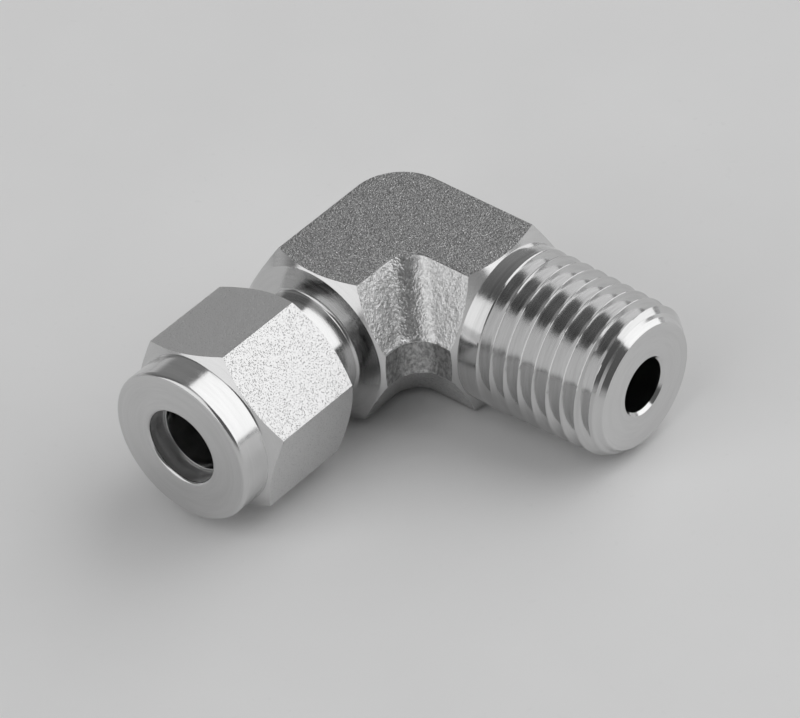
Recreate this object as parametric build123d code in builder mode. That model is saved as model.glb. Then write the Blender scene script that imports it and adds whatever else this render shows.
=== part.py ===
from build123d import *
import os
from math import cos, radians, sin, sqrt, tan

# A 90 degree male elbow for 1/4 in tube, in millimetres. The origin is where the two arms' centrelines
# cross. The arm with the male taper thread runs along +X, the arm with the tube nut along -Y, and +Z is
# square to the plane of the elbow. Distances along the tube arm are counted from the crossing and grow
# towards the nut's face, so a station s lies at y = -s.

# Forged elbow
hex_flats = 14.288           # across the flats of both arms, 9/16 in bar size
corner_trim = 0.919          # what the trimming takes off each side corner of the hexagon
outer_bend_radius = 4.5      # outer bend of the elbow, at the top flat
crotch_radius = 2.5          # fillet in the elbow's inner corner
passage_radius = 2.4         # drilled way through both arms
drill_point_angle = 59.0     # half angle of the drills' points

# Male arm, turned
male_side_run = 1.56         # side of the arm that stays straight between the crotch and the chamfer
male_arm_length = 13.86      # foot of the chamfer to the end face
male_chamfer_slope = 60.0    # angle between the chamfer and the arm's axis
pipe_crest_radius = 6.6275   # crest of the taper thread, carried to the end face
pipe_taper = 1 / 32          # loss of radius for each millimetre towards the end
crest_run = 10.32            # end face back to where the crests meet the plain band
lead_length = 1.25           # length of the lead-in, from the last crest to the end face
lead_cone_length = 0.63      # first cone of the lead-in
lead_cone_drop = 0.527       # loss of radius over that cone
lead_step_drop = 0.24        # loss of radius over the steep step behind it
lead_ring_length = 0.45      # last cone of the lead-in, up to the end face
lead_ring_drop = 0.32        # loss of radius over that cone
passage_chamfer = 0.26       # edge break at the mouth of the passage

# Tube arm, turned
tube_side_run = 1.52         # side of the arm that stays straight between the crotch and the shoulder
tube_rim_drop = 0.144        # rim of the shoulder below the flats
tube_chamfer_slope = 54.0    # angle between the chamfer and the arm's axis
shoulder_rise = 0.45         # how far the shoulder's face climbs from its rim to the neck
neck_wall = 0.65             # wall round the mouth, up to the plain neck between shoulder and thread
neck_root_chamfer = 0.30     # bevel that fills the corner between the shoulder's face and the neck
neck_length = 10.30          # rim of the shoulder to the mouth
neck_thread_length = 6.1     # threaded end of the neck
neck_end_chamfer = 0.45      # lead-in of the neck's thread
thread_rise = 0.195          # pitch line of the nut's thread above the plain neck, 7/16 in with 20 turns
thread_play = 0.025          # what each side of the nut's thread keeps clear of that line

# Tube socket and mouth
tube_radius = 3.175          # 1/4 in tube
socket_play = 0.04           # radial room for the tube in its socket
socket_depth = 8.76          # mouth to the socket's bottom
mouth_flare = 1.085          # growth of radius from the socket to the mouth, where the front ferrule sits
mouth_angle = 12.0           # half angle of the mouth's cone

# Ferrules, as they sit before the nut is pulled up
ferrule_play = 0.035         # radial room for the tube in the ferrules
seat_play = 0.03             # gap between the cones that rest in each other
front_ferrule_wall = 1.19
front_ferrule_length = 5.0
front_ferrule_depth = 2.6    # how far its nose stands in the mouth
front_recess_depth = 1.0     # recess that takes the back ferrule's nose
front_recess_rim = 0.45      # rim left round that recess
back_ferrule_wall = 1.14     # flange
back_flange_length = 0.57
back_flange_rise = 0.60      # flange above the nose
back_nose_wall = 0.18        # thickness of the nose at its tip
back_gap = 0.55              # between the front ferrule and the flange
back_rear_wall = 0.22        # flat rear face left round the tube

# Nut
nut_flats = 14.288           # 9/16 in bar
nut_length = 12.90
nut_turn_at_rest = 75.67     # a corner's angle from +X towards +Z
nut_chamfer = 30.0           # angle between the hexagon's chamfers and its end faces
nut_chamfer_depth = 0.76     # length of those chamfers at the corners
collar_drop = 0.244          # round collar below the flats
collar_length = 2.90
collar_round = 0.36          # rounded rim of the collar
tube_hole_play = 0.205       # radial room for the tube where it enters the nut
tube_hole_length = 1.85
tube_hole_chamfer = 0.22     # edge break at the mouth of that hole
chamber_play = 0.32          # radial room for the front ferrule in the nut
chamber_length = 1.55
nut_mouth_chamfer = 0.45     # lead-in of the nut's thread

# Derived sizes of the forging
flat_reach = hex_flats / 2
hex_corner = flat_reach / cos(radians(30))
flat_half_width = hex_corner / 2
trim_reach = hex_corner - corner_trim
trim_half_height = corner_trim * tan(radians(60))
blank_overrun = 1.0

# Derived stations and radii of the male arm
male_shoulder = trim_reach + crotch_radius + male_side_run
male_reach = male_shoulder + male_arm_length
crest_at_band = male_reach - crest_run
band_radius = pipe_crest_radius + crest_run * pipe_taper
lead_start = male_reach - lead_length
lead_crest_radius = pipe_crest_radius + lead_length * pipe_taper
lead_cone_radius = lead_crest_radius - lead_cone_drop
lead_ring_radius = lead_cone_radius - lead_step_drop
male_face_radius = lead_ring_radius - lead_ring_drop

# Derived stations and radii of the tube arm
tube_shoulder = trim_reach + crotch_radius + tube_side_run
tube_rim_radius = flat_reach - tube_rim_drop
socket_radius = tube_radius + socket_play
mouth_radius = socket_radius + mouth_flare
neck_radius = mouth_radius + neck_wall
thread_radius = neck_radius + thread_rise
neck_thread_radius = thread_radius - thread_play
nut_thread_radius = thread_radius + thread_play
mouth_station = tube_shoulder + neck_length
neck_thread_start = mouth_station - neck_thread_length
socket_bottom = mouth_station - socket_depth
mouth_slope = tan(radians(mouth_angle))
mouth_foot = mouth_station - mouth_flare / mouth_slope

# Derived sizes of the ferrules
ferrule_bore = tube_radius + ferrule_play
nose_station = mouth_station - front_ferrule_depth
nose_radius = mouth_radius - front_ferrule_depth * mouth_slope - seat_play
front_ferrule_radius = ferrule_bore + front_ferrule_wall
nose_cone_end = nose_station + (front_ferrule_radius - nose_radius) / mouth_slope
front_rear = nose_station + front_ferrule_length
front_recess_radius = front_ferrule_radius - front_recess_rim
recess_foot = front_rear - front_recess_depth
recess_slope = (front_recess_radius - ferrule_bore) / front_recess_depth

back_ferrule_radius = ferrule_bore + back_ferrule_wall
back_nose_radius = back_ferrule_radius - back_flange_rise
back_nose_tip_radius = ferrule_bore + back_nose_wall
back_nose_tip = recess_foot + back_nose_wall / recess_slope + seat_play
back_nose_cone_end = back_nose_tip + (back_nose_radius - back_nose_tip_radius) / recess_slope
flange_start = front_rear + back_gap
flange_end = flange_start + back_flange_length
back_rear_radius = ferrule_bore + back_rear_wall
back_rear = flange_end + back_ferrule_radius - back_rear_radius

# Derived sizes of the nut
tube_hole_radius = tube_radius + tube_hole_play
chamber_radius = front_ferrule_radius + chamber_play
bearing_end = back_rear + back_rear_radius - tube_hole_radius + seat_play * sqrt(2)
bearing_start = bearing_end - (chamber_radius - tube_hole_radius)
chamber_start = bearing_start - chamber_length
nut_face = bearing_end + tube_hole_length
nut_back = nut_face - nut_length
collar_start = nut_face - collar_length
collar_radius = nut_flats / 2 - collar_drop
nut_corner = nut_flats / 2 / cos(radians(30))
nut_chamfer_fall = nut_chamfer_depth / tan(radians(nut_chamfer))


def elbow_outline(reach):
    """L-shaped outline of the forging at the level where its sides stand this far from the centrelines."""
    bend = outer_bend_radius + reach - flat_half_width
    with BuildLine() as outline:
        outer = FilletPolyline(
            (male_shoulder, reach), (-reach, reach), (-reach, -tube_shoulder), radius=bend
        )
        inner = FilletPolyline(
            (reach, -tube_shoulder), (reach, -reach), (male_shoulder, -reach), radius=crotch_radius
        )
        Line(outer @ 1, inner @ 0)
        Line(inner @ 1, outer @ 0)
    return make_face(outline.edges())


def station(radius, along):
    """A point of a tube-arm profile, drawn in the plane of the elbow."""
    return (radius, -along)


# Elbow body: one forging, a hexagon bent through a sharp corner, with its side corners trimmed off at the
# parting line, and both arms turned and bored.
with BuildPart() as elbow_body:
    with BuildSketch(Plane.XY.offset(-flat_reach)):
        elbow_outline(flat_half_width)
    with BuildSketch(Plane.XY.offset(-trim_half_height)):
        elbow_outline(trim_reach)
    loft(ruled=True)
    with BuildSketch(Plane.XY.offset(trim_half_height)):
        elbow_outline(trim_reach)
    with BuildSketch(Plane.XY.offset(flat_reach)):
        elbow_outline(flat_half_width)
    loft(ruled=True)
    with BuildSketch(Plane.XY.offset(-trim_half_height)):
        elbow_outline(trim_reach)
    extrude(amount=2 * trim_half_height)

    # The chamfers turned on the hexagon's ends
    male_cone_length = (hex_corner + blank_overrun - band_radius) / tan(radians(male_chamfer_slope))
    with BuildSketch(Plane.XY):
        with BuildLine():
            Polyline(
                (male_shoulder, band_radius),
                (male_shoulder - male_cone_length, hex_corner + blank_overrun),
                (male_shoulder + blank_overrun, hex_corner + blank_overrun),
                (male_shoulder + blank_overrun, band_radius),
                close=True,
            )
        make_face()
    revolve(axis=Axis.X, mode=Mode.SUBTRACT)
    tube_cone_length = (hex_corner + blank_overrun - tube_rim_radius) / tan(radians(tube_chamfer_slope))
    with BuildSketch(Plane.XY):
        with BuildLine():
            Polyline(
                station(tube_rim_radius, tube_shoulder),
                station(hex_corner + blank_overrun, tube_shoulder - tube_cone_length),
                station(hex_corner + blank_overrun, tube_shoulder + blank_overrun),
                station(tube_rim_radius, tube_shoulder + blank_overrun),
                close=True,
            )
        make_face()
    revolve(axis=Axis.Y, mode=Mode.SUBTRACT)

    # Male arm: plain band, taper at the thread's crests, lead-in
    with BuildSketch(Plane.XY):
        with BuildLine():
            Polyline(
                (male_shoulder, 0),
                (male_shoulder, band_radius),
                (crest_at_band, band_radius),
                (lead_start, lead_crest_radius),
                (lead_start + lead_cone_length, lead_cone_radius),
                (male_reach - lead_ring_length, lead_ring_radius),
                (male_reach, male_face_radius),
                (male_reach, 0),
                close=True,
            )
        make_face()
    revolve(axis=Axis.X)

    # Tube arm: shoulder, neck and threaded end
    with BuildSketch(Plane.XY):
        with BuildLine():
            Polyline(
                station(0, tube_shoulder),
                station(tube_rim_radius, tube_shoulder),
                station(neck_radius + neck_root_chamfer, tube_shoulder + shoulder_rise),
                station(neck_radius, tube_shoulder + shoulder_rise + neck_root_chamfer),
                station(neck_radius, neck_thread_start),
                station(neck_thread_radius, neck_thread_start + neck_thread_radius - neck_radius),
                station(neck_thread_radius, mouth_station - neck_end_chamfer),
                station(neck_thread_radius - neck_end_chamfer, mouth_station),
                station(0, mouth_station),
                close=True,
            )
        make_face()
    revolve(axis=Axis.Y)

    # The passage, drilled from both ends until the drills' shoulders reach the crossing
    drill_tip = passage_radius / tan(radians(drill_point_angle))
    with BuildSketch(Plane.XY):
        with BuildLine():
            Polyline(
                (-drill_tip, 0),
                (0, passage_radius),
                (male_reach - passage_chamfer, passage_radius),
                (male_reach, passage_radius + passage_chamfer),
                (male_reach, 0),
                close=True,
            )
        make_face()
    revolve(axis=Axis.X, mode=Mode.SUBTRACT)
    with BuildSketch(Plane.XY):
        with BuildLine():
            Polyline(
                station(0, -drill_tip),
                station(passage_radius, 0),
                station(passage_radius, socket_bottom),
                station(socket_radius, socket_bottom),
                station(socket_radius, mouth_foot),
                station(mouth_radius, mouth_station),
                station(0, mouth_station),
                close=True,
            )
        make_face()
    revolve(axis=Axis.Y, mode=Mode.SUBTRACT)

# Front ferrule: its cone seats in the body's mouth, and its recess takes the back ferrule's nose.
with BuildPart() as front_ferrule:
    with BuildSketch(Plane.XY):
        with BuildLine():
            Polyline(
                station(ferrule_bore, nose_station),
                station(nose_radius, nose_station),
                station(front_ferrule_radius, nose_cone_end),
                station(front_ferrule_radius, front_rear),
                station(front_recess_radius, front_rear),
                station(ferrule_bore, recess_foot),
                close=True,
            )
        make_face()
    revolve(axis=Axis.Y)

# Back ferrule: a nose that wedges under the front ferrule, and a flange with a 45 degree back that the
# nut pushes on.
with BuildPart() as back_ferrule:
    with BuildSketch(Plane.XY):
        with BuildLine():
            Polyline(
                station(ferrule_bore, back_nose_tip),
                station(back_nose_tip_radius, back_nose_tip),
                station(back_nose_radius, back_nose_cone_end),
                station(back_nose_radius, flange_start),
                station(back_ferrule_radius, flange_start),
                station(back_ferrule_radius, flange_end),
                station(back_rear_radius, back_rear),
                station(ferrule_bore, back_rear),
                close=True,
            )
        make_face()
    revolve(axis=Axis.Y)

# Tube nut: hexagon bar, chamfered at both ends, with a round collar. Its thread is left as a plain bore
# at the pitch radius.
with BuildPart() as tube_nut:
    nut_plane = Plane(origin=(0, -nut_back, 0), x_dir=(1, 0, 0), z_dir=(0, -1, 0))
    with BuildSketch(nut_plane):
        RegularPolygon(nut_corner, 6, rotation=nut_turn_at_rest)
    extrude(amount=collar_start - nut_back)
    with BuildSketch(Plane.XY):
        with BuildLine():
            Polyline(
                station(0, nut_back),
                station(nut_corner - nut_chamfer_fall, nut_back),
                station(nut_corner, nut_back + nut_chamfer_depth),
                station(nut_corner, collar_start - nut_chamfer_depth),
                station(nut_corner - nut_chamfer_fall, collar_start),
                station(0, collar_start),
                close=True,
            )
        make_face()
    revolve(axis=Axis.Y, mode=Mode.INTERSECT)
    with BuildSketch(Plane.XY):
        with BuildLine():
            rim_mid = collar_round * (1 - sin(radians(45)))
            Polyline(station(0, nut_face), station(0, collar_start), station(collar_radius, collar_start),
                     station(collar_radius, nut_face - collar_round))
            ThreePointArc(
                station(collar_radius, nut_face - collar_round),
                station(collar_radius - rim_mid, nut_face - rim_mid),
                station(collar_radius - collar_round, nut_face),
            )
            Line(station(collar_radius - collar_round, nut_face), station(0, nut_face))
        make_face()
    revolve(axis=Axis.Y)

    # Thread bore, chamber, bearing cone and tube hole
    with BuildSketch(Plane.XY):
        with BuildLine():
            Polyline(
                station(0, nut_face),
                station(0, nut_back),
                station(nut_thread_radius + nut_mouth_chamfer, nut_back),
                station(nut_thread_radius, nut_back + nut_mouth_chamfer),
                station(nut_thread_radius, chamber_start),
                station(chamber_radius, chamber_start),
                station(chamber_radius, bearing_start),
                station(tube_hole_radius, bearing_end),
                station(tube_hole_radius, nut_face - tube_hole_chamfer),
                station(tube_hole_radius + tube_hole_chamfer, nut_face),
                close=True,
            )
        make_face()
    revolve(axis=Axis.Y, mode=Mode.SUBTRACT)

os.makedirs("parts", exist_ok=True)
elbow_body.part.label = "elbow_body"
export_step(elbow_body.part, "parts/elbow_body.step")
front_ferrule.part.label = "front_ferrule"
export_step(front_ferrule.part, "parts/front_ferrule.step")
back_ferrule.part.label = "back_ferrule"
export_step(back_ferrule.part, "parts/back_ferrule.step")
tube_nut.part.label = "tube_nut"
export_step(tube_nut.part, "parts/tube_nut.step")

print(f"nut from {nut_back:.2f} to {nut_face:.2f} mm along the tube arm, mouth of the body at {mouth_station:.2f} mm")
print(f"tube goes in {nut_face - socket_bottom:.2f} mm; thread engaged over {mouth_station - nut_back:.2f} mm")
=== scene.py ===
# %% [markdown]
# # A male elbow fitting, dressed for its portrait
# The fitting is a forged stainless elbow with two turned arms. One arm carries a taper pipe thread, the
# other takes a tube nut and two ferrules. Everything here is bare steel, so what tells one surface from
# the next is how it was made: forged, sheared, blasted or turned. Each finish gets its own material, and
# the soft boxes of the studio do the rest.

# %% Open the frame
import math

import bmesh
import bpy
import numpy as np
from mathutils import Matrix, Vector


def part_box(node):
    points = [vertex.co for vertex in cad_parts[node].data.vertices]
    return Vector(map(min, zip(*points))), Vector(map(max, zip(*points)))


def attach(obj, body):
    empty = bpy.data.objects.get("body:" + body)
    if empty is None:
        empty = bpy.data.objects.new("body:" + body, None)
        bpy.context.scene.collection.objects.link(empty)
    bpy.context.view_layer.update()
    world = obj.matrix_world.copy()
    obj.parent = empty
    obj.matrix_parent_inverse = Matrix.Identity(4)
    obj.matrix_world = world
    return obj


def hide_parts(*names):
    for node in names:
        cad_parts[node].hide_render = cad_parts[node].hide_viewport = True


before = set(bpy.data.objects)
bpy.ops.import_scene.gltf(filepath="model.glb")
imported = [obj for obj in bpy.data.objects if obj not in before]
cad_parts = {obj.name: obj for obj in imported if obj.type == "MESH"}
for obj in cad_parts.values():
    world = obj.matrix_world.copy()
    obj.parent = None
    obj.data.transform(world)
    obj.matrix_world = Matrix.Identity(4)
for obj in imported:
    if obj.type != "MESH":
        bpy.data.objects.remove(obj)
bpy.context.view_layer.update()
MM = 0.001

# %% [markdown]
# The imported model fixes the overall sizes, so they are read from its boxes. The origin is where the two
# arms' centrelines cross. The male arm runs along +X, the tube arm along -Y, and +Z is up. Distances along
# the tube arm are counted from the crossing towards the nut, so a station s lies at y = -s. All sizes
# below are in millimetres.

# %% Sizes of the elbow and the nut
elbow_low, elbow_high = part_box("elbow_body")
nut_low, nut_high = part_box("tube_nut")
male_reach = elbow_high.x / MM
mouth_station = -elbow_low.y / MM
flat_reach = elbow_high.z / MM
trim_reach = -elbow_low.x / MM
nut_back, nut_face = -nut_high.y / MM, -nut_low.y / MM
hex_corner = flat_reach / math.cos(math.radians(30))
flat_half_width = hex_corner / 2
trim_half_height = (hex_corner - trim_reach) * math.tan(math.radians(60))
outer_bend_radius = 4.5
crotch_radius = 2.5
passage_radius = 2.4
male_turned_length, tube_turned_length = 13.86, 10.30
male_shoulder = male_reach - male_turned_length
tube_shoulder = mouth_station - tube_turned_length
print(f"end face at {male_reach:.2f}, mouth at {mouth_station:.2f} mm")
print(f"nut from {nut_back:.2f} to {nut_face:.2f} mm")

# %% [markdown]
# Most of this object is a skin that runs round an axis: a ring of points for every step along it. So each
# surface is a list of rings, and neighbouring rings are joined by faces. Rings that fall on one point or on
# each other are welded afterwards, which closes seams and lets a helical grid end on a plain circle.


# %% Helpers that turn rings of points into a closed mesh
def smoothstep(low, high, value):
    """0 below low and 1 above high, with an S-curve 3t^2 - 2t^3 between them."""
    t = np.clip((value - low) / (high - low), 0, 1)
    return t * t * (3 - 2 * t)


def strip(rings, finish):
    """Quads between each ring and the next, closed round the ring. rings is rows x points x 3, in mm."""
    rows, around = rings.shape[:2]
    row, col = np.meshgrid(np.arange(rows - 1), np.arange(around), indexing="ij")
    after = (col + 1) % around
    quads = np.stack([row * around + col, row * around + after,
                      (row + 1) * around + after, (row + 1) * around + col], -1).reshape(-1, 4)
    finish = np.broadcast_to(finish, row.shape).reshape(-1)
    return rings.reshape(-1, 3), quads, finish


def helix_strip(rings, shift, finish):
    """As strip, for rings that climb along a thread.

    The last point of ring i meets the first point of ring i + shift, so the grid closes one turn on.
    """
    rows, around = rings.shape[:2]
    row, col = np.meshgrid(np.arange(rows - 1), np.arange(around), indexing="ij")
    after = (col + 1) % around
    wrap = np.where(col == around - 1, shift, 0)
    near, far = np.clip(row + wrap, 0, rows - 1), np.clip(row + 1 + wrap, 0, rows - 1)
    quads = np.stack([row * around + col, near * around + after,
                      far * around + after, (row + 1) * around + col], -1).reshape(-1, 4)
    finish = np.broadcast_to(finish, row.shape).reshape(-1)
    return rings.reshape(-1, 3), quads, finish


def mark_creases(mesh, strip_number, smooth_limit=28.0, joint_limit=5.0):
    """Mark edges sharp that turn by more than smooth_limit, or joint_limit where two strips meet."""
    edge = np.zeros(len(mesh.loops), np.int32)
    mesh.loops.foreach_get("edge_index", edge)
    sides = np.zeros(len(mesh.polygons), np.int32)
    mesh.polygons.foreach_get("loop_total", sides)
    normal = np.zeros(len(mesh.polygons) * 3, np.float32)
    mesh.polygons.foreach_get("normal", normal)
    normal = normal.reshape(-1, 3)
    loop_face = np.repeat(np.arange(len(mesh.polygons)), sides)
    face = loop_face[np.argsort(edge, kind="stable")].reshape(-1, 2)
    cosine = (normal[face[:, 0]] * normal[face[:, 1]]).sum(1)
    joint = strip_number[face[:, 0]] != strip_number[face[:, 1]]
    sharp = cosine < math.cos(math.radians(smooth_limit))
    sharp = sharp | (joint & (cosine < math.cos(math.radians(joint_limit))))
    mesh.attributes.new("sharp_edge", "BOOLEAN", "EDGE").data.foreach_set("value", sharp)


def welded_mesh(name, strips, materials):
    """One closed mesh from several strips: points within a ten-thousandth of a millimetre become one."""
    points, quads, finishes, start = [], [], [], 0
    for p, q, f in strips:
        points.append(p)
        quads.append(q + start)
        finishes.append(f)
        start += len(p)
    number = np.repeat(np.arange(len(strips)), [len(q) for q in quads])
    points, quads, finishes = np.concatenate(points), np.concatenate(quads), np.concatenate(finishes)
    places = np.round(points * 1e4).astype(np.int64)
    _, first, same = np.unique(places, axis=0, return_index=True, return_inverse=True)
    points, quads = points[first], same.reshape(-1)[quads]
    new_corner = quads != np.roll(quads, -1, 1)
    across = (quads[:, 0] != quads[:, 2]) & (quads[:, 1] != quads[:, 3])
    whole = (new_corner.sum(1) == 4) & across
    folded = (new_corner.sum(1) == 3) & across
    triangles = quads[folded][new_corner[folded]].reshape(-1, 3)
    mesh = bpy.data.meshes.new(name)
    mesh.from_pydata((points * MM).tolist(), [], quads[whole].tolist() + triangles.tolist())
    index = np.concatenate([finishes[whole], finishes[folded]]).astype(np.int32)
    mesh.polygons.foreach_set("material_index", index)
    bm = bmesh.new()
    bm.from_mesh(mesh)
    bmesh.ops.delete(bm, geom=[v for v in bm.verts if not v.link_faces], context="VERTS")
    bmesh.ops.recalc_face_normals(bm, faces=bm.faces)
    bm.to_mesh(mesh)
    open_edges = sum(1 for e in bm.edges if len(e.link_faces) != 2)
    bm.free()
    mesh.polygons.foreach_set("use_smooth", np.ones(len(mesh.polygons), bool))
    if open_edges == 0:
        mark_creases(mesh, np.concatenate([number[whole], number[folded]]))
    for material in materials:
        mesh.materials.append(material)
    piece = bpy.data.objects.new(name, mesh)
    bpy.context.scene.collection.objects.link(piece)
    triangle_count = 2 * whole.sum() + folded.sum()
    print(f"{name}: {len(mesh.vertices)} points, {triangle_count} triangles, {open_edges} open edges")
    return piece


def round_corner(before, corner, after, radius, steps=7):
    """Points (along, radius) of an arc at a corner, with one more point just outside each of its ends."""
    before, corner, after = (np.array(p, float) for p in (before, corner, after))
    d1 = (corner - before) / np.hypot(*(corner - before))
    d2 = (after - corner) / np.hypot(*(after - corner))
    turn = math.acos(np.clip(d1 @ d2, -1, 1))
    side = np.sign(d1[0] * d2[1] - d1[1] * d2[0])
    normal = np.array([-d1[1], d1[0]]) * side
    start = corner - d1 * radius * math.tan(turn / 2)
    angle = np.linspace(0, turn, steps)[:, None]
    curve = start + radius * (np.sin(angle) * d1 + (1 - np.cos(angle)) * normal)
    hold = 0.03
    return np.concatenate([[curve[0] - d1 * hold], curve, [curve[-1] + d2 * hold]])


def profile_strips(ring, points, finish):
    """Strips for a profile of (along, radius) points and of arrays of them, as round_corner gives.

    Each straight stretch between two points is a strip of its own. An array stays one smooth strip.
    """
    strips, last = [], None
    for item in points:
        item = np.atleast_2d(np.array(item, float))
        if last is not None:
            strips.append(strip(np.stack([ring(*last), ring(*item[0])]), finish))
        if len(item) > 1:
            strips.append(strip(np.stack([ring(s, r) for s, r in item]), finish))
        last = item[-1]
    return strips


# %% [markdown]
# A forged skin isn't even, so it needs a noise in space that can move real points. The usual recipe is
# value noise: give every corner of a grid of cells a fixed random number and blend between the corners.


# %% A value noise for numpy
def hash_unit(ix, iy, iz, seed):
    """A fixed number from 0 to 1 for each cell corner: products of large odd numbers, mixed."""
    h = (ix * 73856093) ^ (iy * 19349663) ^ (iz * 83492791) ^ (seed * 2654435761)
    h = (h ^ (h >> 13)) * 1274126177
    return ((h ^ (h >> 16)) & 0xFFFF) / 65535.0


def value_noise(points, cell, seed=0):
    """Blend of the eight corner numbers round each point, with smooth weights. Result from -1 to 1."""
    q = points / np.asarray(cell, float)
    base = np.floor(q).astype(np.int64)
    t = q - base
    w = t * t * (3 - 2 * t)
    total = 0.0
    for dx in (0, 1):
        for dy in (0, 1):
            for dz in (0, 1):
                weight = (np.where(dx, w[..., 0], 1 - w[..., 0]) * np.where(dy, w[..., 1], 1 - w[..., 1])
                          * np.where(dz, w[..., 2], 1 - w[..., 2]))
                corner = base + (dx, dy, dz)
                total = total + weight * hash_unit(corner[..., 0], corner[..., 1], corner[..., 2], seed)
    return 2 * total - 1


# %% [markdown]
# The forging is a hexagon bar bent through a sharp corner. Two of its flats lie level, and the two side
# corners were sheared off where the dies met, which leaves a narrow upright band. One ring of stations
# serves the whole elbow: it is spaced evenly along the hexagon's sides, closer on the slanted inner
# faces, where the photograph shows the hammered skin from near by.


# %% Section of the forging
def hexagon_section(counts, corner_round):
    """Points round the trimmed hexagon as (outward, up), from the outer band's middle, corners rounded.

    Each side is a straight run of evenly spaced points; each corner is an arc tangent to both sides, worked
    out from the corner's bisector: centre at round / sin(half the inside angle) from the corner.
    """
    half = [(trim_reach, 0.0), (trim_reach, trim_half_height), (flat_half_width, flat_reach),
            (-flat_half_width, flat_reach), (-trim_reach, trim_half_height), (-trim_reach, 0.0)]
    upper = []
    for k in range(len(half) - 1):
        a, b = np.array(half[k]), np.array(half[k + 1])
        along = (b - a) / np.hypot(*(b - a))
        trim_a = 0.0 if k == 0 else corner_round * math.tan(turns_at(half, k) / 2)
        trim_b = 0.0 if k == len(half) - 2 else corner_round * math.tan(turns_at(half, k + 1) / 2)
        start, stop = a + along * trim_a, b - along * trim_b
        share = np.linspace(0, 1, counts[k] + 1)[:, None]
        upper.append(start + (stop - start) * share)
        if k < len(half) - 2:
            turn = turns_at(half, k + 1)
            outward = np.array([along[1], -along[0]])
            centre = stop - outward * corner_round
            for step in (1 / 3, 2 / 3):
                angle = turn * step
                spoke = outward * math.cos(angle) + along * math.sin(angle)
                upper.append((centre + spoke * corner_round)[None])
    upper = np.concatenate(upper)
    lower = upper[-2:0:-1] * (1, -1)
    return np.concatenate([upper, lower])


def turns_at(outline, k):
    """Angle through which an outline turns at its corner k."""
    before = np.subtract(outline[k], outline[k - 1])
    after = np.subtract(outline[k + 1], outline[k])
    cosine = before @ after / np.hypot(*before) / np.hypot(*after)
    return math.acos(np.clip(cosine, -1, 1))


points_per_side = (5, 22, 26, 40, 8)
section = hexagon_section(points_per_side, corner_round=0.14)
station_angle = np.arctan2(section[:, 1], section[:, 0])
station_cos, station_sin = np.cos(station_angle), np.sin(station_angle)
stations = len(section)
print(f"{stations} stations round the section")


# %% [markdown]
# Two small functions put a ring on an arm. Both measure the angle from the outer side of the elbow
# towards +Z, so a point keeps its station all the way from one end face, round the bend, to the other.


# %% Rings on the two arms
def male_ring(along, radius):
    """Ring round the male arm: (along, radius cos a, radius sin a)."""
    along, radius = np.broadcast_to(along, stations), np.broadcast_to(radius, stations)
    return np.stack([along, radius * station_cos, radius * station_sin], -1)


def tube_ring(along, radius):
    """Ring round the tube arm: (-radius cos a, -along, radius sin a)."""
    along, radius = np.broadcast_to(along, stations), np.broadcast_to(radius, stations)
    return np.stack([-radius * station_cos, -along, radius * station_sin], -1)


# %% [markdown]
# The body's skin is a grid: one direction runs round the section, the other follows the elbow from one
# turned chamfer to the other. On the outer side the track turns about a centre inside the bend, with a
# radius that grows outwards. On the inner side it turns about a centre in the open corner, always with
# the crotch's radius. Across the level flats the two tracks are blended, which stays in the flat's plane.


# %% Track of the forging round the bend
# The turned chamfers at the forging's ends, as the tangent of their angle to a plane square to the arm
MALE_TAN = math.tan(math.radians(60))
TUBE_TAN = math.tan(math.radians(54))
band_radius = 6.95
tube_rim_radius = flat_reach - 0.144
bend_rows, run_rows = 40, 34
bend_offset = outer_bend_radius - flat_half_width


def body_rows(section_points):
    """Rings from the male chamfer to the tube chamfer, for section points of rows x stations x 2."""
    outward, up = section_points[..., 0], section_points[..., 1]
    radius = np.hypot(outward, up)
    male_end = male_shoulder - (radius - band_radius) / MALE_TAN
    tube_end = tube_shoulder - (radius - tube_rim_radius) / TUBE_TAN
    outer = np.clip(outward, flat_half_width, None)
    inner = np.clip(-outward, flat_half_width, None)
    blend = np.clip((outward + flat_half_width) / (2 * flat_half_width), 0, 1)
    step = np.arange(2 * run_rows + bend_rows + 1)[:, None]
    turn = np.clip((step - run_rows) / bend_rows, 0, 1) * math.pi / 2
    outer_x = bend_offset - (outer + bend_offset) * np.sin(turn)
    outer_y = -bend_offset + (outer + bend_offset) * np.cos(turn)
    inner_x = inner + crotch_radius - crotch_radius * np.sin(turn)
    inner_y = -inner - crotch_radius + crotch_radius * np.cos(turn)
    x = blend * outer_x + (1 - blend) * inner_x
    y = blend * outer_y + (1 - blend) * inner_y
    male_run = np.clip(1 - step / run_rows, 0, 1)
    tube_run = np.clip((step - run_rows - bend_rows) / run_rows, 0, 1)
    x = x + male_run * (male_end - x)
    y = y + tube_run * (-tube_end - y)
    return np.stack([x, y, np.broadcast_to(up, x.shape)], -1)


body_row_count = 2 * run_rows + bend_rows + 1
print(f"{body_row_count} rings along the forging")

# %% [markdown]
# The skin itself: the slanted faces still show the hammered surface of the forging dies, with grains a few
# tenths of a millimetre wide. The section's points are pushed in and out by noise before the track is
# laid, so the turned chamfers cut the rough skin just as the lathe did. Level flats and shear bands stay
# plain here, because their grain is too fine for the grid and is left to the materials. Where the shear
# met the slanted face, in the corner, it left a torn ridge.

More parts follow.
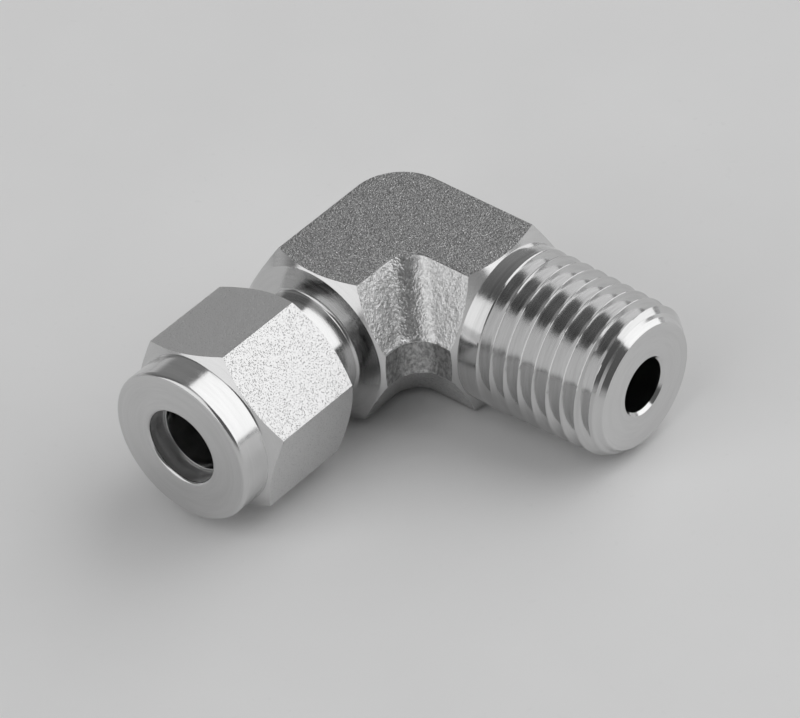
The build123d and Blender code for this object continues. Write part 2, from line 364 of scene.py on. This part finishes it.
# %% The forged skin, as real relief
plain_rows = body_rows(np.broadcast_to(section, (body_row_count, stations, 2)))
height, outwardness = section[:, 1], section[:, 0]
slanted = (smoothstep(trim_half_height + 0.05, trim_half_height + 0.35, np.abs(height))
           * smoothstep(flat_reach - 0.02, flat_reach - 0.30, np.abs(height)))
grain = (0.55 * value_noise(plain_rows, (0.42, 0.42, 0.60), 3)
         + 0.45 * value_noise(plain_rows, (0.21, 0.21, 0.30), 5)
         + 0.35 * value_noise(plain_rows, 1.3, 9))
grain_height, ridge_height = 0.030, 0.075
ridge_above_band, ridge_width = 0.10, 0.13
inner_side = smoothstep(0.0, -3.0, outwardness)
above_ridge = np.abs(height) - trim_half_height - ridge_above_band
edge_line = np.exp(-(above_ridge / ridge_width) ** 2) * inner_side
torn = 0.55 + 0.9 * value_noise(plain_rows, 0.55, 21) + 0.5 * value_noise(plain_rows, 0.2, 23)
torn = np.clip(torn, 0, 2)
relief = grain_height * grain * slanted + ridge_height * edge_line * torn
side_normal = np.where(np.abs(height)[:, None] > flat_reach - 0.01, [[0.0, 1.0]],
                       np.where(np.abs(height)[:, None] < trim_half_height, [[1.0, 0.0]],
                                [[math.cos(math.radians(30)), math.sin(math.radians(30))]]))
side_normal = side_normal * np.sign(np.where(section == 0, 1, section))
body = body_rows(section + relief[..., None] * side_normal)
print(f"relief from {relief.min():.3f} to {relief.max():.3f} mm")

# %% [markdown]
# The taper thread is a 60 degree V groove with a pitch of 1.411 mm, eighteen to the inch. Its crests lie
# on a cone that loses 1 mm of radius in 32, apart from the first turns, where the plain band is too thin to
# fill them. The grid's rings climb with the thread, so crests and roots follow rows of points and stay
# crisp. At both ends the rings are held at a plain circle.

# %% Thread shapes
turned, forged, flats, sheared, thread_cut, bored = range(6)


def groove_depth(offset, pitch, crest_flat, depth):
    """Depth of a V groove below its crests, at a distance from the groove's middle.

    The flanks rise by tan 60 for each millimetre. The root is cut off at full depth, with a soft corner.
    """
    to_crest = np.clip(pitch / 2 - np.abs(offset) - crest_flat / 2, 0, None)
    sharp = to_crest * math.tan(math.radians(60))
    softness = 28
    return depth - np.logaddexp(0, (depth - sharp) * softness) / softness


def thread_rings(start, stop, pitch, hand, groove_middle, rows_per_turn, envelope, cut):
    """Places and radii of rings that climb one pitch a turn between two circles.

    The radius is the smaller of the blank's envelope and what the threading tool leaves.
    """
    turns = math.ceil((stop - start) / pitch) + 2
    first = start - pitch if hand > 0 else start
    row = np.arange(turns * rows_per_turn + 1)[:, None]
    share = (station_angle % (2 * math.pi)) / (2 * math.pi)
    climb = first + row * pitch / rows_per_turn + (share if hand > 0 else -share) * pitch
    along = np.clip(climb, start, stop)
    middle = groove_middle + hand * share * pitch
    turn_number = np.round((along - middle) / pitch)
    groove = middle + turn_number * pitch
    radius = np.minimum(envelope(along), cut(along, along - groove, groove))
    return along, radius


# %% [markdown]
# The male arm: chamfer, plain band, thread, then a lead-in of three short cones. The thread's phase and
# the places where it runs in and out were read off the photograph. The crests carry a few tiny burrs.

# %% Male arm
pipe_pitch = 25.4 / 18
pipe_crest_radius = 6.6275
pipe_depth = 1.12
male_rows_per_turn = 26
thread_start, lead_start = 12.30, male_reach - 1.25
lead = np.array([(24.0, pipe_crest_radius + 1.25 / 32), (24.63, 6.14), (24.80, 5.90), (25.25, 5.58)])
lead[:, 0] += male_reach - lead[-1, 0]
first_groove = 13.80 - pipe_pitch * 114.2 / 360
run_in, run_out = 13.0, 24.25
crest_flat = 0.06


def male_crest(along):
    """Crest cone, held down by the plain band and by the lead-in's first cone."""
    cone = pipe_crest_radius + (male_reach - along) / 32
    lead_cone = np.interp(along, lead[:2, 0], lead[:2, 1], left=99)
    return np.minimum(np.minimum(cone, band_radius), lead_cone)


def male_cut(along, offset, groove):
    """Radius left by the threading tool: crest cone less the groove, which fades at both ends."""
    depth = groove_depth(offset, pipe_pitch, crest_flat, pipe_depth)
    reach = smoothstep(run_in - 0.30, run_in + 0.15, groove)
    reach = reach * smoothstep(run_out + 0.25, run_out - 0.25, groove)
    cone = pipe_crest_radius + (male_reach - along) / 32
    return np.where(reach > 0, cone - depth + (1 - reach) * (pipe_depth + 1), 99)


male_along, male_radius = thread_rings(thread_start, lead[1, 0], pipe_pitch, 1, first_groove,
                                       male_rows_per_turn, male_crest, male_cut)
male_thread = np.stack([male_along, male_radius * station_cos, male_radius * station_sin], -1)
near_crest = smoothstep(0.10, 0.0, male_crest(male_along) - male_radius)
burr = np.clip(value_noise(male_thread, 0.35, 31) - 0.45, 0, 1) * near_crest
inside = (male_along > thread_start + 0.9) & (male_along < lead_start - 0.1)
burr_height = 0.06
male_radius = male_radius + burr_height * burr * inside
male_thread = np.stack([male_along, male_radius * station_cos, male_radius * station_sin], -1)

passage_chamfer = 0.26
passage_mouth = (male_reach, passage_radius + passage_chamfer)
band_root = np.stack([male_ring(male_shoulder, band_radius), male_ring(thread_start, band_radius)])
chamfer_out = np.stack([body[0], male_ring(male_shoulder, band_radius)])
lead_strips = profile_strips(male_ring, [*lead[1:], passage_mouth], turned)
mitre = passage_radius * station_cos
bore_rows = np.stack([male_ring(d * (male_reach - passage_chamfer) - (1 - d) * mitre, passage_radius)
                      for d in (1, 0.75, 0.5, 0.25, 0)])
passage_edge = np.stack([male_ring(*passage_mouth), bore_rows[0]])
bore_strips = [strip(passage_edge, turned), strip(bore_rows, turned)]

# %% [markdown]
# The tube arm: a chamfer and a shoulder whose face climbs gently to the neck, then the neck's thread, its
# mouth with a slim cone for the front ferrule, and the socket that takes the tube. The nut's thread is
# twenty to the inch. Only when the nut is backed off does it show.

# %% Tube arm
nut_pitch = 25.4 / 20
neck_rows_per_turn = 12
socket_radius, mouth_radius, neck_radius = 3.215, 4.30, 4.95
neck_crest = 5.56
socket_depth, neck_thread_length, neck_lead = 8.76, 6.1, 0.65
socket_bottom = mouth_station - socket_depth
mouth_foot = mouth_station - (mouth_radius - socket_radius) / math.tan(math.radians(12))
neck_thread_start = mouth_station - neck_thread_length
neck_crest_flat = 0.14
neck_groove_depth = neck_crest - neck_radius - 0.004


def neck_envelope(along):
    """Plain neck, a 45 degree step up to the crests, and the lead-in at the mouth."""
    return np.interp(along, [neck_thread_start, neck_thread_start + neck_crest - neck_radius,
                             mouth_station - neck_lead, mouth_station],
                     [neck_radius, neck_crest, neck_crest, neck_crest - neck_lead])


def neck_cut(along, offset, groove):
    """Crest radius less the groove, whose root is level with the plain neck."""
    return neck_crest - groove_depth(offset, nut_pitch, neck_crest_flat, neck_groove_depth)


neck_first = neck_thread_start - 0.3
neck_along, neck_r = thread_rings(neck_first, mouth_station, nut_pitch, -1, neck_first,
                                  neck_rows_per_turn, neck_envelope, neck_cut)
neck_r = np.where(neck_along <= neck_first, neck_radius, neck_r)
neck_r = np.where(neck_along >= mouth_station, neck_crest - neck_lead, neck_r)
neck_thread = np.stack([-neck_r * station_cos, -neck_along, neck_r * station_sin], -1)

tube_chamfer = np.stack([body[-1], tube_ring(tube_shoulder, tube_rim_radius)])
shoulder_rise, root_round = 0.45, 0.34
shoulder_rim = (tube_shoulder, tube_rim_radius)
shoulder_foot = (tube_shoulder + shoulder_rise + 0.06, neck_radius)
neck_foot = (neck_first, neck_radius)
shoulder_arc = round_corner(shoulder_rim, shoulder_foot, neck_foot, root_round)
shoulder_strips = profile_strips(tube_ring, [shoulder_rim, shoulder_arc, neck_foot], turned)
mouth_profile = [(mouth_station, neck_crest - neck_lead), (mouth_station, mouth_radius),
                 (mouth_foot, socket_radius), (socket_bottom, socket_radius),
                 (socket_bottom, passage_radius)]
mouth_strips = profile_strips(tube_ring, mouth_profile, bored)
tube_bore = np.stack([tube_ring(socket_bottom * d - (1 - d) * mitre, passage_radius) for d in (1, 0.5, 0)])

# %% [markdown]
# The strips are put together in one list, each with the number of its finish, and welded into one skin.
# On the forging the finish depends on the station: level flats, slanted sides or shear bands.

# %% The elbow's skin
middle = np.abs((height + np.roll(height, -1)) / 2)
side_finish = np.where(middle < trim_half_height + 0.02, sheared, forged)
body_finish = np.where(middle > flat_reach - 0.10, flats, side_finish)
elbow_strips = [
    strip(body, body_finish), strip(chamfer_out, turned), strip(band_root, turned),
    helix_strip(male_thread, male_rows_per_turn, thread_cut), *lead_strips, *bore_strips,
    strip(tube_chamfer, turned), *shoulder_strips,
    helix_strip(neck_thread, -neck_rows_per_turn, thread_cut), *mouth_strips, strip(tube_bore, turned),
]
print(f"{len(elbow_strips)} strips")

# %% [markdown]
# The nut is a piece of hexagon bar, so its skin can be a grid too. A chamfer turned on a hexagon meets the
# flats in curves that dip at the middle of each flat. If every ring point knows how far out its flat is,
# the place where the cone meets it follows at once, and the curve comes out exact.

# %% The nut's skin
nut_flat_reach = 7.144
nut_turn = math.radians(75.67)
nut_points = 180
nut_round = 0.10
nut_angle = nut_turn + np.arange(nut_points) * 2 * math.pi / nut_points
collar_radius, collar_length, collar_round = 6.90, 2.90, 0.36
tube_hole_radius, tube_hole_length, tube_hole_round = 3.38, 1.85, 0.22
chamber_radius, chamber_length = 4.72, 1.55
chamfer_depth = 0.76
chamfer_fall = chamfer_depth / math.tan(math.radians(30))
nut_mouth_radius = 5.62
nut_corner = nut_flat_reach / math.cos(math.radians(30))
collar_start = nut_face - collar_length
bearing_end = nut_face - tube_hole_length
bearing_start = bearing_end - (chamber_radius - tube_hole_radius)
chamber_start = bearing_start - chamber_length


def nut_ring(along, radius):
    """Ring round the tube arm's axis for the nut: (radius cos a, -along, radius sin a), a from +X to +Z."""
    along, radius = np.broadcast_to(along, nut_points), np.broadcast_to(radius, nut_points)
    return np.stack([radius * np.cos(nut_angle), -along, radius * np.sin(nut_angle)], -1)


def hexagon_radius(angle_from_corner):
    """Distance to a hexagon's side: flat reach over cos of the angle from the flat's middle."""
    from_flat = (angle_from_corner % (math.pi / 3)) - math.pi / 6
    sharp = nut_flat_reach / np.cos(from_flat)
    rounded = nut_corner - nut_round * (1 / math.cos(math.radians(30)) - 1)
    return rounded - np.logaddexp(0, (rounded - sharp) * 60) / 60


bar_radius = hexagon_radius(nut_angle - nut_turn)
chamfer_end = chamfer_depth * (bar_radius - (nut_corner - chamfer_fall)) / chamfer_fall
chamfer_foot = nut_corner - chamfer_fall
back_chamfer, front_chamfer = nut_back + chamfer_end, collar_start - chamfer_end
bar_skin = 6
bar = np.stack([nut_ring(back_chamfer + d * (front_chamfer - back_chamfer), bar_radius)
                for d in (0, 0.25, 0.5, 0.75, 1)])
collar_edge, hole_edge = (nut_face, collar_radius), (nut_face, tube_hole_radius)
hole_end = (bearing_end, tube_hole_radius)
collar_root_round = 0.22
collar_root = round_corner((collar_start - 0.5, chamfer_foot + 0.87), (collar_start + 0.02, collar_radius),
                           collar_edge, collar_root_round)
rim = round_corner((collar_start, collar_radius), collar_edge, hole_edge, collar_round)
lip = round_corner(collar_edge, hole_edge, hole_end, tube_hole_round, 5)
inner_profile = [lip[-1], hole_end, (bearing_start, chamber_radius), (chamber_start, chamber_radius)]
nut_strips = [
    strip(np.stack([nut_ring(nut_back, nut_mouth_radius), nut_ring(nut_back, chamfer_foot)]), turned),
    strip(np.stack([nut_ring(nut_back, chamfer_foot), nut_ring(back_chamfer, bar_radius)]), turned),
    strip(bar, bar_skin),
    strip(np.stack([nut_ring(front_chamfer, bar_radius), nut_ring(*collar_root[0])]), turned),
    *profile_strips(nut_ring, [collar_root, rim, lip], turned),
    *profile_strips(nut_ring, inner_profile, bored),
]

# %% [markdown]
# The nut's inner thread follows the neck's thread with a little play, in the same phase. A right-hand
# thread keeps that phase while the nut turns and climbs, so the two never cut through each other.

# %% The nut's thread
nut_play = 0.035
inner_minor = 4.99
nut_rows_per_turn = 14
thread_end = chamber_start
row = np.arange((math.ceil((thread_end - nut_back) / nut_pitch) + 2) * nut_rows_per_turn + 1)[:, None]
turn_from_first = (nut_angle - nut_turn) / (2 * math.pi)
nut_climb = nut_back - nut_pitch + row * nut_pitch / nut_rows_per_turn + turn_from_first * nut_pitch
nut_along = np.clip(nut_climb, nut_back, thread_end)
nut_middle = neck_first - nut_pitch / 2 + nut_angle / (2 * math.pi) * nut_pitch
nut_offset = nut_along - nut_middle - np.round((nut_along - nut_middle) / nut_pitch) * nut_pitch
nut_groove = groove_depth(nut_offset, nut_pitch, neck_crest_flat, neck_groove_depth)
nut_r = np.maximum(neck_crest - nut_groove + nut_play, inner_minor)
nut_r = np.maximum(nut_r, nut_mouth_radius - (nut_along - nut_back))
nut_r = np.where(nut_along >= thread_end, chamber_radius, nut_r)
nut_thread = np.stack([nut_r * np.cos(nut_angle), -nut_along, nut_r * np.sin(nut_angle)], -1)
print(f"nut: {len(nut_strips)} strips and {len(nut_thread)} rings along the thread")

# %% [markdown]
# Every finish is bare stainless steel: a metallic shader with a middling grey. What differs is the relief
# and the roughness. Turned faces carry fine rings round their axis. Noise read from the distance along the
# axis and the distance from it, and from nothing else, runs round the part as tool marks do.

# %% Steel materials
STEEL = (0.60, 0.60, 0.60, 1)


def steel(name, roughness, tint=STEEL):
    """A bare metal material; returns it with its node tree and shader."""
    material = bpy.data.materials.new(name)
    material.use_nodes = True
    tree = material.node_tree
    shader = tree.nodes["Principled BSDF"]
    shader.inputs["Base Color"].default_value = tint
    shader.inputs["Metallic"].default_value = 1.0
    shader.inputs["Roughness"].default_value = roughness
    return material, tree, shader


def object_point(tree, scale=(1, 1, 1)):
    """Object coordinates in millimetres times a scale."""
    coordinates = tree.nodes.new("ShaderNodeTexCoord")
    mapping = tree.nodes.new("ShaderNodeMapping")
    mapping.inputs["Scale"].default_value = [s / MM for s in scale]
    tree.links.new(coordinates.outputs["Object"], mapping.inputs["Vector"])
    return mapping.outputs["Vector"]


def noise(tree, vector, scale, detail=2.0, roughness=0.5):
    """A noise texture's value at a vector."""
    node = tree.nodes.new("ShaderNodeTexNoise")
    node.inputs["Scale"].default_value = scale
    node.inputs["Detail"].default_value = detail
    node.inputs["Roughness"].default_value = roughness
    tree.links.new(vector, node.inputs["Vector"])
    return node.outputs["Fac"]


def ramp(tree, value, low, high, out_low=0.0, out_high=1.0):
    """Value mapped from low..high to out_low..out_high and clamped."""
    node = tree.nodes.new("ShaderNodeMapRange")
    for socket, number in zip(("From Min", "From Max", "To Min", "To Max"), (low, high, out_low, out_high)):
        node.inputs[socket].default_value = number
    tree.links.new(value, node.inputs["Value"])
    return node.outputs["Result"]


def combine(tree, operation, first, second):
    """A math node on two values, either of which may be a number."""
    node = tree.nodes.new("ShaderNodeMath")
    node.operation = operation
    for socket, value in zip(node.inputs, (first, second)):
        if isinstance(value, (int, float)):
            socket.default_value = value
        else:
            tree.links.new(value, socket)
    return node.outputs["Value"]


def relief_from(tree, shader, height, distance, strength=1.0):
    """Bump of this height in millimetres on the shader."""
    bump = tree.nodes.new("ShaderNodeBump")
    bump.inputs["Distance"].default_value = distance * MM
    bump.inputs["Strength"].default_value = strength
    tree.links.new(height, bump.inputs["Height"])
    tree.links.new(bump.outputs["Normal"], shader.inputs["Normal"])


def grey_from(tree, shader, value, dark, light):
    """Base colour that runs from one grey to another with a value."""
    mix = tree.nodes.new("ShaderNodeMix")
    mix.data_type = "RGBA"
    tree.links.new(value, mix.inputs["Factor"])
    mix.inputs["A"].default_value = (dark, dark, dark, 1)
    mix.inputs["B"].default_value = (light, light, light, 1)
    tree.links.new(mix.outputs["Result"], shader.inputs["Base Color"])


def turned_steel(name, axis, ring_width, depth, roughness, streak=0.5, greys=(0.60, 0.72)):
    """Turned steel: noise of the distances along and from the axis, with a slow change round the part."""
    material, tree, shader = steel(name, roughness)
    point = object_point(tree)
    separate = tree.nodes.new("ShaderNodeSeparateXYZ")
    tree.links.new(point, separate.inputs["Vector"])
    along = separate.outputs[axis]
    across = [separate.outputs[k] for k in "XYZ" if k != axis]
    squares = [combine(tree, "POWER", side, 2.0) for side in across]
    radius = combine(tree, "SQRT", combine(tree, "ADD", squares[0], squares[1]), 0.0)
    joined = tree.nodes.new("ShaderNodeCombineXYZ")
    tree.links.new(along, joined.inputs["X"])
    tree.links.new(radius, joined.inputs["Y"])
    angle = combine(tree, "ARCTAN2", across[0], across[1])
    tree.links.new(combine(tree, "MULTIPLY", combine(tree, "SINE", angle, 0.0), streak), joined.inputs["Z"])
    rings = noise(tree, joined.outputs["Vector"], 1 / ring_width, 3.0, 0.6)
    relief_from(tree, shader, rings, depth)
    broad = noise(tree, joined.outputs["Vector"], 0.25 / ring_width, 2.0, 0.5)
    uneven = ramp(tree, broad, 0.3, 0.7, roughness * 0.8, roughness * 1.25)
    tree.links.new(uneven, shader.inputs["Roughness"])
    grey_from(tree, shader, broad, *greys)
    return material


turned_male = turned_steel("turned_male_arm", "X", 0.06, 0.0016, 0.14)
turned_tube = turned_steel("turned_tube_arm", "Y", 0.06, 0.0016, 0.15)
thread_male = turned_steel("cut_pipe_thread", "X", 0.05, 0.0013, 0.13, greys=(0.50, 0.70))
thread_tube = turned_steel("cut_nut_thread", "Y", 0.05, 0.0018, 0.15, greys=(0.52, 0.70))
drilled = turned_steel("drilled_bore", "Y", 0.08, 0.004, 0.42, greys=(0.78, 0.86))
print("turned materials made")

# %% [markdown]
# The level flats were blasted: a close grey matt grain, with smoother spots whose paler colour is a painted
# glint, light put into the colour. The slanted faces have the forging's own bumpy skin, more burnished. The
# bands at the parting line show the shear's upright scratches, and the nut's bar skin is matt with tiny
# dark pits.

# %% Blasted, forged, sheared and bar skins
def blasted_steel(name):
    """Fine craters a tenth of a millimetre wide: dark grey, with smoother spots whose paler colour is a
    painted glint.
    """
    material, tree, shader = steel(name, 0.42)
    point = object_point(tree)
    coarse, fine = noise(tree, point, 7.5, 2.0), noise(tree, point, 10.0, 1.0)
    height = combine(tree, "ADD", coarse, combine(tree, "MULTIPLY", fine, 0.8))
    relief_from(tree, shader, height, 0.13)
    # Spots where the fine noise peaks: a painted glint in a paler base colour, plus a real lower roughness.
    painted_glints = ramp(tree, fine, 0.60, 0.70)
    ground = ramp(tree, coarse, 0.35, 0.65, 0.0, 0.30)
    grey = combine(tree, "ADD", ground, combine(tree, "MULTIPLY", painted_glints, 0.70))
    grey_from(tree, shader, grey, 0.20, 0.88)
    tree.links.new(ramp(tree, painted_glints, 0.0, 1.0, 0.42, 0.24), shader.inputs["Roughness"])
    return material


def forged_steel(name):
    """The forging's skin: rounded grains on top of the real relief, burnished on their tops."""
    material, tree, shader = steel(name, 0.28)
    point = object_point(tree, (1, 1, 0.7))
    coarse, fine = noise(tree, point, 5.2, 2.0), noise(tree, point, 12.0, 2.0)
    height = combine(tree, "ADD", coarse, combine(tree, "MULTIPLY", fine, 0.5))
    relief_from(tree, shader, height, 0.050)
    grey_from(tree, shader, ramp(tree, coarse, 0.35, 0.6), 0.52, 0.74)
    return material


def sheared_steel(name):
    """Upright shear marks, torn along their length: noise stretched along Z, darkened by a second noise."""
    material, tree, shader = steel(name, 0.34)
    marks = noise(tree, object_point(tree, (1, 1, 0.14)), 7.0, 3.0, 0.6)
    torn = noise(tree, object_point(tree, (1, 1, 0.6)), 4.0, 3.0, 0.6)
    relief_from(tree, shader, combine(tree, "ADD", marks, torn), 0.040)
    grey_from(tree, shader, ramp(tree, torn, 0.38, 0.62), 0.28, 0.56)
    return material


def bar_steel(name):
    """Matt bar skin with small pits: dark specks where a noise peaks, on a faint grain."""
    material, tree, shader = steel(name, 0.38)
    point = object_point(tree)
    grain = noise(tree, point, 9.0, 2.0)
    pits = ramp(tree, noise(tree, point, 8.6, 2.0, 0.6), 0.56, 0.68)
    low_grain = combine(tree, "MULTIPLY", grain, 0.25)
    height = combine(tree, "SUBTRACT", low_grain, combine(tree, "MULTIPLY", pits, 0.6))
    relief_from(tree, shader, height, 0.026)
    grey_from(tree, shader, pits, 0.72, 0.46)
    return material


blasted, forging_skin = blasted_steel("blasted_flat"), forged_steel("forged_skin")
shear_band, bar_face = sheared_steel("sheared_band"), bar_steel("bar_skin")
print("forging materials made")

# %% [markdown]
# Now the pieces. The elbow's turned faces lie on two arms with different axes, so a face takes the male
# arm's material or the tube arm's by where its middle lies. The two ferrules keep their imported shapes.

# %% Pieces on their bodies
turned_y, thread_y = 6, 7
elbow_finishes = [turned_male, forging_skin, blasted, shear_band, thread_male, drilled,
                  turned_tube, thread_tube]
elbow = welded_mesh("elbow_body_skin", elbow_strips, elbow_finishes)
centres = np.zeros(len(elbow.data.polygons) * 3)
elbow.data.polygons.foreach_get("center", centres)
centres = centres.reshape(-1, 3)
index = np.zeros(len(elbow.data.polygons), np.int32)
elbow.data.polygons.foreach_get("material_index", index)
on_tube_arm = centres[:, 0] < -centres[:, 1]
index = np.where(on_tube_arm & (index == turned), turned_y, index)
index = np.where(on_tube_arm & (index == thread_cut), thread_y, index)
elbow.data.polygons.foreach_set("material_index", index.astype(np.int32))
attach(elbow, "elbow")
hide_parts("elbow_body")

nut_strips.append(helix_strip(nut_thread[::-1], -nut_rows_per_turn, thread_cut))
nut_finishes = [turned_tube] * 4 + [thread_tube, drilled, bar_face]
nut = welded_mesh("tube_nut_skin", nut_strips, nut_finishes)
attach(nut, "nut")
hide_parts("tube_nut")

ferrule_turned = turned_steel("turned_ferrule", "Y", 0.05, 0.0012, 0.14)
for name in ("front_ferrule", "back_ferrule"):
    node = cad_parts[name]
    node.data.materials.clear()
    node.data.materials.append(ferrule_turned)
print("pieces:", elbow.name, nut.name, "and two ferrules")

# %% [markdown]
# The camera is where the photographer's was: a long lens, looking down at 40 degrees between the two arms.
# Its azimuth, elevation, roll and distance were worked out from the rings and corners seen in the picture.

# %% Camera
camera_azimuth, camera_elevation = math.radians(-48.190), math.radians(40.056)
camera_roll = math.radians(-3.471)
camera_distance = 461.9
focal_length, sensor_width = 251.0, 36.0
to_camera = Vector((math.cos(camera_elevation) * math.cos(camera_azimuth),
                    math.cos(camera_elevation) * math.sin(camera_azimuth), math.sin(camera_elevation)))
level_right = Vector((-math.sin(camera_azimuth), math.cos(camera_azimuth), 0))
level_up = to_camera.cross(level_right)
right = math.cos(camera_roll) * level_right + math.sin(camera_roll) * level_up
up = -math.sin(camera_roll) * level_right + math.cos(camera_roll) * level_up
aim_right, aim_up = -0.281, -7.453
camera_place = (camera_distance * to_camera + aim_right * right + aim_up * up) * MM
camera = bpy.data.objects.new("camera", bpy.data.cameras.new("camera"))
camera.data.lens, camera.data.sensor_width = focal_length, sensor_width
camera.data.clip_start, camera.data.clip_end = 0.01, 20.0
camera_turn = Matrix((right, up, to_camera)).transposed().to_4x4()
camera.matrix_world = Matrix.Translation(camera_place) @ camera_turn
bpy.context.scene.collection.objects.link(camera)
bpy.context.scene.camera = camera
print("camera at", [round(c, 4) for c in camera_place])

# %% [markdown]
# Unheld, the fitting rests on three points: the end of one corner of the nut, the last crest of the pipe
# thread and a lower edge of the forging. The part keeps its own frame, so it is the floor that tilts, by
# two and a half degrees, to touch all three.

# %% Floor
last_crest, nut_end_corner = Vector((24.0, 0.255, -6.662)), Vector((-2.042, -15.893, -7.993))
forging_edge = Vector((10.64, 4.125, -7.144))
rest_points = [last_crest, nut_end_corner, forging_edge]
floor_normal = (rest_points[1] - rest_points[0]).cross(rest_points[2] - rest_points[0]).normalized()
floor_normal = floor_normal if floor_normal.z > 0 else -floor_normal
floor_half = 4.0
side = Vector((1, 0, 0)).cross(floor_normal).normalized()
other = side.cross(floor_normal)
foot = rest_points[0] * MM - floor_normal * 0.00002
corners = [foot + floor_half * (a * side + b * other) for a, b in ((-1, -1), (1, -1), (1, 1), (-1, 1))]
floor_mesh = bpy.data.meshes.new("floor")
floor_mesh.from_pydata([tuple(c) for c in corners], [], [(0, 1, 2, 3)])
floor = bpy.data.objects.new("floor", floor_mesh)
bpy.context.scene.collection.objects.link(floor)

floor_paint = bpy.data.materials.new("floor_paint")
floor_paint.use_nodes = True
tree = floor_paint.node_tree
shader = tree.nodes["Principled BSDF"]
shader.inputs["Roughness"].default_value = 0.6
shader.inputs["Specular IOR Level"].default_value = 0.3
point = object_point(tree)
mottle = noise(tree, point, 0.05, 3.0)
specks = ramp(tree, noise(tree, point, 1.4, 1.0), 0.735, 0.76)
patchy = ramp(tree, mottle, 0.3, 0.7, 0.0, 1.0)
speckled = combine(tree, "SUBTRACT", patchy, combine(tree, "MULTIPLY", specks, 2.0))
grey_from(tree, shader, speckled, 0.84, 0.87)
floor.data.materials.append(floor_paint)
print("floor normal", [round(c, 4) for c in floor_normal])

# %% [markdown]
# Polished steel shows its surroundings, so the lights are placed by what each face has to mirror. A large
# soft box stands to the right and behind and whitens the nut's front flat, the collar and the thread's
# flanks. A second one, to the left, lights the other side of each rounded part. Between them it stays
# dark, which gives the level flat its deep grey and the collars their dark bands.

# %% Lights
def sky(azimuth, elevation):
    """Unit vector towards an azimuth, counted from +X to +Y, and an elevation, both in degrees."""
    a, e = math.radians(azimuth), math.radians(elevation)
    return np.array([math.cos(e) * math.cos(a), math.cos(e) * math.sin(a), math.sin(e)])


def soft_box(name, corners, distance, strength):
    """A flat glowing panel whose corners are seen from the fitting in these directions.

    Its plane is square to the mean direction. Each corner lies where its own direction meets that plane.
    """
    directions = np.array([sky(*c) for c in corners])
    middle = directions.sum(0) / np.linalg.norm(directions.sum(0))
    places = directions * (distance / (directions @ middle))[:, None]
    panel_mesh = bpy.data.meshes.new(name)
    panel_mesh.from_pydata(places.tolist(), [], [tuple(range(len(corners)))])
    panel = bpy.data.objects.new(name, panel_mesh)
    bpy.context.scene.collection.objects.link(panel)
    panel.visible_camera = False
    glow = bpy.data.materials.new(name)
    glow.use_nodes = True
    glow.node_tree.nodes.clear()
    emission = glow.node_tree.nodes.new("ShaderNodeEmission")
    emission.inputs["Strength"].default_value = strength
    output = glow.node_tree.nodes.new("ShaderNodeOutputMaterial")
    glow.node_tree.links.new(emission.outputs["Emission"], output.inputs["Surface"])
    panel.data.materials.append(glow)
    print(name, "spans", np.ptp(places, 0).round(2), "m")


soft_box("right_soft_box", [(18, 5), (118, 8), (118, 62), (0, 62)], 0.9, 1.40)
soft_box("left_soft_box", [(-137, 2), (-76, 2), (-58, 70), (-138, 66)], 0.9, 1.10)

# %% [markdown]
# The rest of the studio is dim: darkest behind the camera, a little paler at the back on the left, pale
# near the horizon, where the table goes on, and paler again straight overhead.

# %% World
world = bpy.data.worlds.new("studio")
bpy.context.scene.world = world
world.use_nodes = True
tree = world.node_tree
background = tree.nodes["Background"]
direction = tree.nodes.new("ShaderNodeTexCoord")
parts = tree.nodes.new("ShaderNodeSeparateXYZ")
tree.links.new(direction.outputs["Generated"], parts.inputs["Vector"])
near_horizon = ramp(tree, combine(tree, "ABSOLUTE", parts.outputs["Z"], 0.0), 0.22, 0.06, 0.0, 0.34)
overhead = ramp(tree, parts.outputs["Z"], 0.90, 0.97, 0.0, 0.40)
towards_back_left = combine(tree, "SUBTRACT", parts.outputs["Y"], parts.outputs["X"])
back_left = ramp(tree, towards_back_left, 0.2, 1.1, 0.0, 0.14)
dim_everywhere = 0.11
paler_zones = combine(tree, "ADD", near_horizon, overhead)
glow = combine(tree, "ADD", paler_zones, combine(tree, "ADD", back_left, dim_everywhere))
tree.links.new(glow, background.inputs["Strength"])
background.inputs["Color"].default_value = (1, 1, 1, 1)
bpy.context.scene.view_settings.view_transform = "Standard"
print("a dim studio")
